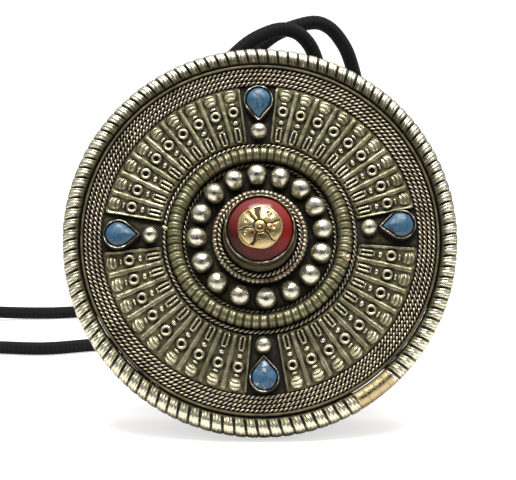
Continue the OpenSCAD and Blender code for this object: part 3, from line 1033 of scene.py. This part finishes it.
def rim_silver():
    """As the other old silver, with a brass-coloured repair, and painted shade: dark towards the inside, over
    its tarnish in the corner by the strip, and darker at the outer edge.
    """
    paint = Finish("rim_silver")
    radius = paint.radius()
    crest = paint.attribute("crest")
    deep = paint.shelter(0.8 * MM)
    cloud = paint.noise(paint.where, 0.22, 4)
    speck = paint.noise(paint.where, 1.6, 5, 0.62)
    # Painted shade: the inner side is darkened all round, over its tarnish in the corner by the strip, and
    # the outer edge is darkened too; tarnish here holds this painted shade as well.
    inside = 1 - radius.step(34.9, 36.9)
    edge = radius.step(37.2, 37.9)
    dark = 0.42 + inside * 0.72 + edge * 0.3 + deep * 1.5 - crest * 0.62
    tarnish = (dark + (cloud - 0.5) * 0.5 + (speck - 0.5)).clamped()
    hue = (paint.noise(paint.where, 0.5, 3) * 0.8 + speck * 0.5 - 0.1).step(0.35, 0.65)
    colour = paint.mix(hue, (0.13, 0.085, 0.045), (0.17, 0.165, 0.07))
    colour = paint.mix(tarnish.step(0.08, 0.55), (0.90, 0.85, 0.66), colour)
    colour = paint.mix((tarnish + deep * 0.5).step(0.6, 1.0), colour, BLACK_TARNISH_AND_SHADE)
    repair = paint.attribute("solder")
    colour = paint.mix(repair * (0.9 - tarnish * 0.5), colour, (0.55, 0.42, 0.20))
    paint.done(
        {
            "Base Color": colour,
            "Roughness": (0.24 + tarnish * 0.36 + (speck - 0.5) * 0.14).clamped(),
            "Metallic": (1.1 - tarnish * 0.6).clamped(),
            "Normal": paint.bump(speck + cloud * 0.6, 0.14 * MM, 0.55),
        }
    )
    return paint.material


def strip(material):
    """The plain strip that stands between the rim and the twisted wires."""
    ring = ring_of("edge_strip")
    low = [(ring.inner, ring.back), (ring.outer, ring.back)]
    corners = [*low, (ring.outer, ring.front), (ring.inner, ring.front)]
    mesh = spun("edge_strip_bent", rounded(corners, 0.14), 288, 0.0006, 2)
    crest(mesh, ring.back, ring.front)
    return piece("edge_strip_bent", mesh, "wheel", "dark_silver", material, "edge_strip")


# ---------------------------------------------------------------- stamped panels

MOTIFS = 9
SHEET = 0.4
# The radius at which each mark of a column stands, from the rim inwards.
RIDGE_OUTER = 30.1
SHELL_AT = 28.75
BAR_AT = 26.98
RING_AT = 25.4
BEAD_AT = 23.25
CROSS_AT = 22.1
TWIN_AT = 20.75
FOOT_AT = 19.4
RIDGE_INNER = 18.9


def hump(x, width):
    """1 in the middle, falling smoothly to 0 at width."""
    return np.clip(1 - (x / width) ** 2, 0, 1)


def round_top(height, x, width):
    return height * np.sqrt(hump(x, width))


def beyond(x, start):
    """How far x is past start on either side, or nothing."""
    return np.maximum(np.abs(x) - start, 0)


def column_height(across, r, step):
    """Height and brightness of a stamped column, across its width and along the radius, in millimetres."""
    edge = r * step / 2 - np.abs(across)
    ends = np.clip((r - RIDGE_INNER) / 0.8, 0, 1) * np.clip((RIDGE_OUTER - r) / 0.5, 0, 1)
    # the shell at the outer end is a short barrel with curved ribs across it
    rib = np.cos(tau * (r + 0.22 * across**2 - SHELL_AT - 0.2) / 0.8)
    # each mark's shape, and how much of its silver stays bright
    marks = (
        (round_top(0.40, np.maximum(edge - 0.12, 0), 0.42) * ends, 0.9),
        (round_top(0.50 + 0.16 * rib, np.hypot(across / 1.28, (r - SHELL_AT) / 1.3), 1), 1.5),
        (round_top(0.50, np.hypot(beyond(across, 0.25), (r - BAR_AT) * 1.1), 0.38), 1.9),
        (round_top(0.75, np.hypot(across, r - RING_AT) - 0.78, 0.36), 1.4),
        (round_top(0.62, np.hypot(across * 0.85, (r - BEAD_AT) * 1.15), 0.58), 1.7),
        (round_top(0.46, np.hypot(np.abs(across) - 0.42, beyond(r - TWIN_AT, 0.9)), 0.3), 1.7),
        (round_top(0.40, np.hypot(beyond(across, 0.35), r - CROSS_AT), 0.24), 1.6),
        (round_top(0.36, np.hypot(beyond(across, 0.35), r - FOOT_AT), 0.24), 1.4),
    )
    shapes = [shape for shape, _ in marks]
    shine = [shape * bright for shape, bright in marks]
    return np.max(shapes, axis=0), np.clip(np.max(shine, axis=0), 0, 1)


def panel(name, material):
    """One stamped panel of nine columns, with the ends of its sheet closed."""
    p = in_wheel(name)
    r, angle = around_axle(p)
    inner, outer, low = r.min(), r.max(), p[:, 2].min()
    middle = angle_of(name)
    turn = (angle - middle + pi) % tau - pi
    step = (turn.max() - turn.min()) / MOTIFS
    middle += (turn.max() + turn.min()) / 2
    across_steps, along_steps, below_steps = 30, 92, 6
    along = np.linspace(inner + 0.02, outer - 0.02, along_steps)
    below = np.stack([np.linspace(outer, inner, below_steps), np.full(below_steps, low)], 1)
    angles = np.linspace(-0.5, 0.5, across_steps + 1) * step
    outlines, crests = [], []
    for a in angles:
        height, shine = column_height(a * along, along, step)
        top = np.stack([along, low + SHEET + height], 1)
        outlines.append(np.concatenate([top, below]))
        crests.append(np.concatenate([shine, np.zeros(below_steps)]))
    part = slice_of(name, angles, outlines, crests)
    recipe = repeater(name + "_columns", material, 0.16, 0.7)
    sizes = {"Count": MOTIFS, "Step": step, "First": middle - (MOTIFS - 1) / 2 * step}
    mesh = recipe.mesh(name, part, **sizes)
    work = bmesh.new()
    work.from_mesh(mesh)
    bmesh.ops.holes_fill(work, edges=[e for e in work.edges if e.is_boundary], sides=0)
    work.to_mesh(mesh)
    work.free()
    return piece(name + "_stamped", outwards(mesh), "wheel", "aged_silver", material, name)


# ---------------------------------------------------------------- settings at the four points


def drop_outline(width, length, inset):
    """A teardrop round the middle of its round end, pointing along -x, inset on every side."""
    steps = 52
    r = width / 2 - inset
    tip = (length - width / 2) * r / (width / 2)
    tangent = pi - np.arccos(r / tip)
    arc = np.linspace(-tangent, tangent, steps)
    points = [(r * cos(a), r * sin(a)) for a in arc]
    end = Vector((-tip, 0))
    for share in (0.35, 0.7, 0.95):
        points.append(tuple(Vector(points[steps - 1]).lerp(end, share)))
    for share in (0.95, 0.7, 0.35):
        points.append(tuple(Vector(points[0]).lerp(end, share)))
    return np.array(points)


def lofted(name, levels, closed=False):
    """A skin through (outline, height) levels: its ends are shut, or the last joins the first."""
    rows = [np.column_stack([o, np.full(len(o), z)]) for o, z in levels]
    return grid(name, rows, wrap_rows=closed, caps=not closed)


def setting(side, silver, stone, seed):
    """A teardrop bezel of thin silver with its turquoise."""
    angle = angle_of("bezel_" + side)
    p = in_wheel("bezel_" + side) @ np.array(Matrix.Rotation(angle, 3, "Z"))
    low, top = p[:, 2].min(), p[:, 2].max()
    width = np.ptp(p[:, 1])
    length = np.ptp(p[:, 0])
    centre = p[:, 0].max() - width / 2
    place = Matrix.Rotation(angle, 4, "Z") @ Matrix.Translation((centre, 0, 0))

    def wall(inset):
        return drop_outline(width, length, inset)

    levels = [
        (wall(0.0), low),
        (wall(0.08), top - 0.6),
        (wall(0.16), top - 0.12),
        (wall(0.22), top),
        (wall(0.31), top - 0.01),
        (wall(0.38), top - 0.12),
        (wall(0.40), low + 0.4),
        (wall(1.2), low + 0.4),
        (wall(1.2), low),
    ]
    mesh = lofted("bezel", levels, closed=True)
    rng = np.random.default_rng(seed)
    q = points_of(mesh)
    _, turn = around_axle(q)
    phase = rng.uniform(0, tau, 3)
    wave = np.sin(2 * turn + phase[0]) + 0.7 * np.sin(5 * turn + phase[1]) + 0.5 * np.sin(9 * turn + phase[2])
    q[:, 2] += 0.09 * wave * np.clip((q[:, 2] - low - 1) / 1.0, 0, 1)
    reshape(mesh, q)
    crest(mesh, top - 0.22, top + 0.02)
    mesh.transform(place)
    piece(f"bezel_{side}_folded", mesh, "wheel", "dark_silver", silver, "bezel_" + side)

    # the stone stands inside the wall, and is domed from a little below the wall's edge
    gap, girdle, dome = 0.47, top - 0.55, 1.3
    levels = [(wall(gap), low + 0.42), (wall(gap), girdle)]
    for t in np.linspace(0, 1, 9)[1:]:
        levels.append((wall(gap + (width / 2 - 0.55) * (1 - sqrt(1 - t**2)) ** 0.8), girdle + dome * t))
    mesh = lofted("stone", levels)
    q = points_of(mesh)
    q[:, 2] += 0.06 * np.sin(2.1 * q[:, 0] + seed) * np.sin(1.7 * q[:, 1] - seed) * (q[:, 2] > top - 0.4)
    reshape(mesh, q)
    mesh.transform(place)
    return piece(f"turquoise_{side}_cut", mesh, "wheel", "turquoise", stone, "turquoise_" + side)


# ---------------------------------------------------------------- granules


def granules(name, node, angles, material):
    """Granules at those angles, each turned at random, sunk into its solder and a little out of round."""
    p = in_wheel(node)
    size = np.ptp(p[:, 2])
    radius = np.hypot(p[:, 0], p[:, 1]).max() - size / 2
    low = p[:, 2].min()
    recipe = Recipe(name, Radius=float(size / 2), Seed=5, Uneven=0.36, Spread=0.05)
    ball = {"Segments": 36, "Rings": 24, "Radius": recipe.size("Radius")}
    ball = recipe.node("GeometryNodeMeshUVSphere", inputs=ball).outputs["Mesh"]
    x, y, z = recipe.parts(recipe.place())
    up = z / recipe.size("Radius")
    out = ((x * x + y * y) ** 0.5).most(0.01)
    foot = (1 - (up + 1) / 0.3).clamped() ** 0.8 * recipe.size("Radius") * 0.7
    wider = (foot - out).most(0) / out
    ball = recipe.moved(ball, recipe.vector(x * wider, y * wider, 0))
    ball = recipe.marked(ball, "crest", ((up + 0.1) * 1.3).clamped())

    def chance(low_end, high_end, seed):
        ends = {"Min": low_end, "Max": high_end, "Seed": recipe.size("Seed") + seed}
        return Value(recipe, recipe.node("FunctionNodeRandomValue", inputs=ends).outputs[1])

    size_of = chance(1 - recipe.size("Spread"), 1.0, 0)
    points = recipe.node("GeometryNodeMeshToPoints", inputs={"Mesh": recipe.given.outputs["Shape"]})
    inputs = {
        "Points": points.outputs[0],
        "Instance": ball,
        "Rotation": recipe.vector(0, 0, chance(0.0, tau, 1)),
        "Scale": recipe.vector(size_of, size_of * chance(0.95, 1.0, 2), size_of),
    }
    copies = recipe.node("GeometryNodeInstanceOnPoints", inputs=inputs)
    real = recipe.node("GeometryNodeRealizeInstances", inputs={"Geometry": copies.outputs[0]})
    recipe.made(recipe.dented(real.outputs[0], 0.45, 3.0), material)
    places = bpy.data.meshes.new(name + "_places")
    middle = low + size / 2
    places.from_pydata([(radius * cos(a), radius * sin(a), middle) for a in angles], [], [])
    mesh = recipe.mesh(name, places)
    q = points_of(mesh)
    q[:, 2] = np.clip(q[:, 2], low + 0.01, None)
    reshape(mesh, q)
    return piece(name, outwards(mesh), "wheel", "aged_silver", material, node)


# ---------------------------------------------------------------- boss

FLANGE = 0.35
CUP_FOOT = 7.2
CUP_TOP = 6.85
CUP_ROOF = 1.5
CUP_BORE = 2.02


def cup(material):
    """The boss's cup on its flange, hollow where the axle ends in it."""
    ring = ring_of("boss_cup")
    base, top = ring.back, ring.front
    corners = [
        (CUP_BORE, base),
        (ring.outer, base),
        (ring.outer, base + FLANGE),
        (CUP_FOOT, base + FLANGE),
        (CUP_TOP, top),
        (0, top, 0),
        (0, top - CUP_ROOF, 0),
        (CUP_BORE, top - CUP_ROOF),
    ]
    mesh = spun("boss_cup_raised", rounded(corners, 0.12), 144)
    crest(mesh, base, top + 1)
    return piece("boss_cup_raised", mesh, "hanger", "aged_silver", material, "boss_cup")


def coral_bezel(material):
    """The thin wall round the coral, its edge pushed over the stone unevenly."""
    ring = ring_of("coral_bezel")
    corners = [
        (ring.inner + 0.02, ring.back),
        (ring.outer, ring.back),
        (ring.outer - 0.02, ring.front - 0.3),
        (ring.outer - 0.1, ring.front),
        (ring.inner - 0.02, ring.front - 0.03),
    ]
    mesh = spun("coral_bezel_pushed", rounded(corners, 0.1), 160)
    p = points_of(mesh)
    _, a = around_axle(p)
    uneven = 0.05 * np.sin(5 * a + 1) + 0.04 * np.sin(11 * a) + 0.03 * np.sin(23 * a + 2) - 0.1
    p[:, 2] += uneven * np.clip((p[:, 2] - ring.back) / (ring.front - ring.back), 0, 1) ** 2
    reshape(mesh, p)
    crest(mesh, ring.front - 0.25, ring.front - 0.05)
    return piece("coral_bezel_pushed", mesh, "hanger", "aged_silver", material, "coral_bezel")


def dome_of(node):
    """Radius of the ball that a domed CAD node's top is part of, and the height of its centre."""
    p = in_wheel(node)
    r, _ = around_axle(p)
    top = p[:, 2].max()
    outer = r.max()
    edge = p[r > outer - 0.01, 2].max()
    ball = (outer**2 + (top - edge) ** 2) / (2 * (top - edge))
    return ball, top - ball


def coral_dome(material):
    """The coral: a high dome, slightly uneven under its polish."""
    ring = ring_of("coral_stone")
    ball, centre = dome_of("coral_stone")
    edge = centre + sqrt(ball**2 - ring.outer**2)
    outline = [(0, ring.back), (ring.outer - 0.15, ring.back), (ring.outer, ring.back + 0.15)]
    outline += [(ring.outer, ring.back + (edge - ring.back) * s) for s in (0.4, 0.8, 0.96)]
    outline += [(r, centre + sqrt(ball**2 - r**2)) for r in ring.outer * np.linspace(0.995, 0, 26)]
    mesh = spun("coral_polished", outline, 128)
    p = points_of(mesh)
    high = np.clip((p[:, 2] - edge) / 1.0, 0, 1)
    p[:, 2] -= high * (0.05 + 0.05 * np.sin(0.7 * p[:, 0] + 0.5) * np.cos(0.9 * p[:, 1]))
    reshape(mesh, p)
    return piece("coral_polished", mesh, "hanger", "coral", material, "coral_stone")


# Chased lines between the petals: angle, half width by the button, growth in each millimetre, depth.
GROOVES = np.array([
    (18, 0.15, 0.03, 0.9),
    (101, 0.16, 0.20, 1.0),
    (129, 0.10, 0.02, 0.5),
    (187, 0.15, 0.03, 0.85),
    (247, 0.24, 0.05, 1.0),
    (315, 0.24, -0.05, 0.9),
])
# Punched marks on the petals: across, up, half width.
PUNCHES = ((-2.5, 1.0, 0.24), (-2.7, -1.25, 0.32), (2.45, -0.1, 0.28), (2.0, 2.15, 0.42), (1.6, 2.6, 0.3))
BUTTON = 1.08


def rosette(material):
    """A flower in thin gold: six uneven petals round a flat button, inside a raised edge."""
    ball, centre = dome_of("coral_stone")
    ring = ring_of("gold_rosette")
    outer = ring.outer
    thick = ring.front - centre - ball
    steps, rings = 288, 84
    angle = np.linspace(0, tau, steps, endpoint=False)
    limit = outer * (0.955 + 0.02 * np.sin(2 * angle + 0.6) + 0.018 * np.sin(5 * angle + 1.2))
    share = np.linspace(0, 1, rings)[:, None]
    far = share * limit[None, :]
    x, y = far * np.cos(angle), far * np.sin(angle)
    bend = 0.05 * np.sin(3 * far + 2 * angle)
    starts = np.radians(GROOVES[:, 0])
    groove = np.zeros_like(far)
    for at, (_, half, spread, depth) in zip(starts, GROOVES):
        turn = (angle + bend - at + pi) % tau - pi
        wide = np.clip(half + spread * (far - BUTTON), 0.08, None)
        away = np.abs(turn) * far / wide
        groove = np.maximum(groove, depth * np.sqrt(hump(away, 1)) * (np.abs(turn) < 1))
    ends = np.concatenate([starts, starts[:1] + tau])
    middles = (ends[:-1] + ends[1:]) / 2
    to_middle = (angle[:, None] - middles[None, :] + pi) % tau - pi
    k = np.abs(to_middle).argmin(1)
    side = to_middle[np.arange(steps), k][None, :]
    width = np.diff(ends)[k][None, :]
    swell = np.clip(1 - (2 * side / width) ** 2, 0, 1) * np.clip((3.9 - far) / 1.6, 0, 1) ** 0.6
    punched = np.zeros_like(far)
    for across, up, size in PUNCHES:
        punched = np.maximum(punched, np.exp(-((x - across) ** 2 + (y - up) ** 2) / size**2))
    petal = 0.08 + 0.27 * np.sqrt(swell) - 0.32 * groove - 0.24 * punched
    button = 0.33 * hump(far, BUTTON) ** 0.25 - 0.12 * np.exp(-(far**2) / 0.025)
    moat = np.sqrt(hump(far - BUTTON - 0.1, 0.24))
    height = np.where(far < BUTTON, button, petal - 0.3 * moat)
    edge = 0.14 * np.sqrt(hump(far - limit[None, :] + 0.16, 0.18))
    height = np.clip(np.maximum(edge, height), 0.0, thick - 0.08)
    z = centre + np.sqrt((ball + 0.06 + height) ** 2 - far**2)
    under = centre + np.sqrt((ball + 0.03) ** 2 - far**2)
    upper = np.stack([x, y, z], 2)
    lower = np.stack([x, y, under], 2)
    mesh = grid("rosette", np.concatenate([upper, lower[::-1]]))
    q = points_of(mesh)
    level = np.sqrt(q[:, 0] ** 2 + q[:, 1] ** 2 + (q[:, 2] - centre) ** 2) - ball
    mark(mesh, "crest", np.clip((level - 0.07) / 0.16, 0, 1))
    return piece("gold_rosette_embossed", mesh, "hanger", "gold", material, "gold_rosette")


# ---------------------------------------------------------------- rings and plain CAD nodes


def paint_nodes(finish, *nodes):
    """These CAD nodes keep their shape, which is right, and take a finish."""
    for node in nodes:
        for holder in frame["nodes"][node].material_slots:
            holder.material = finish


def reeded_ring(node, material, body, reeds, depth, lines, wider=0.0, drops=()):
    """A reeded ring in place of the CAD node, with drops of solder that ran onto it."""
    ring = ring_of(node)
    middle, height = (ring.inner + ring.outer) / 2, (ring.front + ring.back) / 2
    outline, out = wire_outline(middle, height, ring.front - ring.back, 20)
    part = reed_slice(node, outline, out, reeds, depth, 1.6, lines, line_count=2, steps=12)
    recipe = repeater(node, material, 0.1, 0.9)
    mesh = outwards(recipe.mesh(node, part, Count=reeds, Step=tau / reeds))
    if wider:
        reshape(mesh, wider_below(points_of(mesh), wider))
    for angle, radius, height, size in drops:
        blob(mesh, radians(angle), radius, height, size)
    return piece(node + "_cut", mesh, body, "aged_silver", material, node)


def drum_wires(material):
    """The three twisted wires round the drum, one piece like their CAD node."""
    ring = ring_of("drum_wires")
    size = ring.outer - ring.inner
    radius = (ring.outer + ring.inner) / 2
    count = round(DRUM_WIRE_RADIUS * tau / DRUM_TWIST)
    recipe = repeater("drum_wires", material, 0.06, 1.3)
    join = bmesh.new()
    for height in (ring.back + size / 2, (ring.back + ring.front) / 2, ring.front - size / 2):
        part = twist_slice("drum_wire", radius, height, size, count, 0.08, 12)
        join.from_mesh(recipe.mesh("drum_wire", part, Count=count, Step=tau / count))
    mesh = bpy.data.meshes.new("drum_wires_twisted")
    join.to_mesh(mesh)
    join.free()
    return piece("drum_wires_twisted", outwards(mesh), "wheel", "aged_silver", material, "drum_wires")


# ---------------------------------------------------------------- all the pieces

# The length of a half twist in each wire of the border, and in the drum's wires.
TWIST = 0.92
DRUM_TWIST = 1.1
DRUM_WIRE_RADIUS = 27
# The sixteen granules don't stand evenly: they start this far round, and bunch this much at that side.
GRANULES = 16
GRANULES_START = radians(4)
GRANULES_BUNCH = radians(3)
GRANULES_SIDE = radians(25)
# Drops of solder on the middle ring: angle in degrees, radius, height, size.
DROPS = ((-14, 16.9, 3.1, 0.95), (174, 18.3, 1.5, 0.6), (41, 17.1, 3.0, 0.5))
# The four points of the face, with the part of the rock each turquoise is cut from and its pale share.
POINTS = (("right", 0.0, 0.0), ("top", 3.1, 0.0), ("left", 7.7, 0.0), ("bottom", 12.9, 1.0))


def border(wire):
    """The rim, the plain strip and the four twisted wires."""
    rim(rim_silver())
    # The strip is painted near-black all round: its tarnish, and painted shade for the shade it lies in
    # beside the rim.
    strip(aged("strip_silver", (0.30, 0.27, 0.19), soot=1.0, crest=0.25, reach=0.8))
    for i in range(1, 5):
        ring = ring_of(f"rope_wire_{i}")
        count = round((ring.inner + ring.outer) / 2 * tau / TWIST)
        twisted(f"rope_wire_{i}", count, wire, "wheel", "aged_silver")


def face(wire):
    """The panels, the middle ring between its wires, the granules and the four settings."""
    stamped = aged("stamped_silver", (0.80, 0.71, 0.50), soot=0.6, crest=0.6, reach=0.8, green=0.6)
    for corner in ("ne", "nw", "sw", "se"):
        panel("panel_" + corner, stamped)
    twisted("mid_rope_outer", 118, wire, "wheel", "dark_silver")
    twisted("mid_rope_inner", 94, wire, "wheel", "dark_silver")
    reeded = aged("reeded_silver", (0.66, 0.61, 0.44), soot=0.95, crest=0.75, reach=0.7, green=0.6)
    reeded_ring("mid_reeded_ring", reeded, "wheel", 70, 0.3, 0.15, wider=0.04, drops=DROPS)
    ball = aged("granule_silver", (0.80, 0.76, 0.62), soot=0.7, crest=0.6, reach=1.6, green=0.75)
    even = np.arange(GRANULES) * tau / GRANULES
    uneven = even + GRANULES_START + GRANULES_BUNCH * np.cos(even + GRANULES_SIDE)
    granules("granules_soldered", "granule_ring", uneven, ball)
    tips = [angle_of("bezel_" + side) for side, _, _ in POINTS]
    granules("tip_granules_soldered", "tip_granules", tips, ball)
    folded = aged("folded_silver", (0.80, 0.74, 0.60), soot=0.95, crest=0.85, reach=0.7)
    for seed, (side, offset, pale) in enumerate(POINTS, 3):
        setting(side, folded, turquoise_stone("turquoise_" + side, offset, pale), seed)


def boss(wire):
    """The reeded ring, the twisted wire, the cup, the coral in its bezel and the gold rosette."""
    reeds = aged("boss_silver", (0.80, 0.71, 0.53), soot=0.62, crest=0.5, reach=0.4, green=0.4)
    reeded_ring("boss_reeded_ring", reeds, "hanger", 62, 0.12, 0.0)
    cup(aged("cup_silver", (0.50, 0.46, 0.36), soot=0.78, crest=0.15, reach=1.0))
    twisted("boss_rope", 52, wire, "hanger", "aged_silver")
    coral_bezel(aged("coral_bezel_silver", (0.62, 0.58, 0.46), soot=0.95, crest=0.75, reach=0.6))
    coral_dome(coral())
    rosette(gold_leaf())


def back_and_inside(wire):
    """The drum and its wires, the guard, the bail and what is inside the drum."""
    paint_nodes(aged("dark_silver", CREAM, soot=0.85, crest=0.55, reach=1.2), "face_sheet")
    paint_nodes(sheet_silver("drum_silver", (0.66, 0.63, 0.53), 0.42, 1.0, (2, 2, 14)), "drum_wall")
    flat = sheet_silver("back_silver", (0.70, 0.67, 0.57), 0.36, 0.5, (1, 9, 3))
    paint_nodes(flat, "drum_back", "guard_plate", "bail_loop")
    for node in ("bail_rivets", "guard_edge_wire"):
        paint_nodes(aged(node + "_silver", CREAM, soot=0.4, crest=0.0, reach=0.9), node)
    drum_wires(wire)
    paint_nodes(brass_metal("axle_brass", (0.72, 0.50, 0.20), 0.35), "axle", "core_tube")
    bearing = brass_metal("bush_brass", (0.80, 0.58, 0.26), 0.2)
    paint_nodes(bearing, "bush_front", "bush_rear", "washer_front", "washer_rear")
    paint_nodes(paper(), "mantra_scroll")
    paint_nodes(red_thread(), "scroll_tie")


def pendant():
    wire = aged("wire_silver", (0.66, 0.58, 0.43), soot=0.84, crest=0.85, reach=0.5, rough=0.3, green=0.4)
    border(wire)
    face(wire)
    boss(wire)
    back_and_inside(wire)


camera()
studio()
cords(black_cord())
pendant()
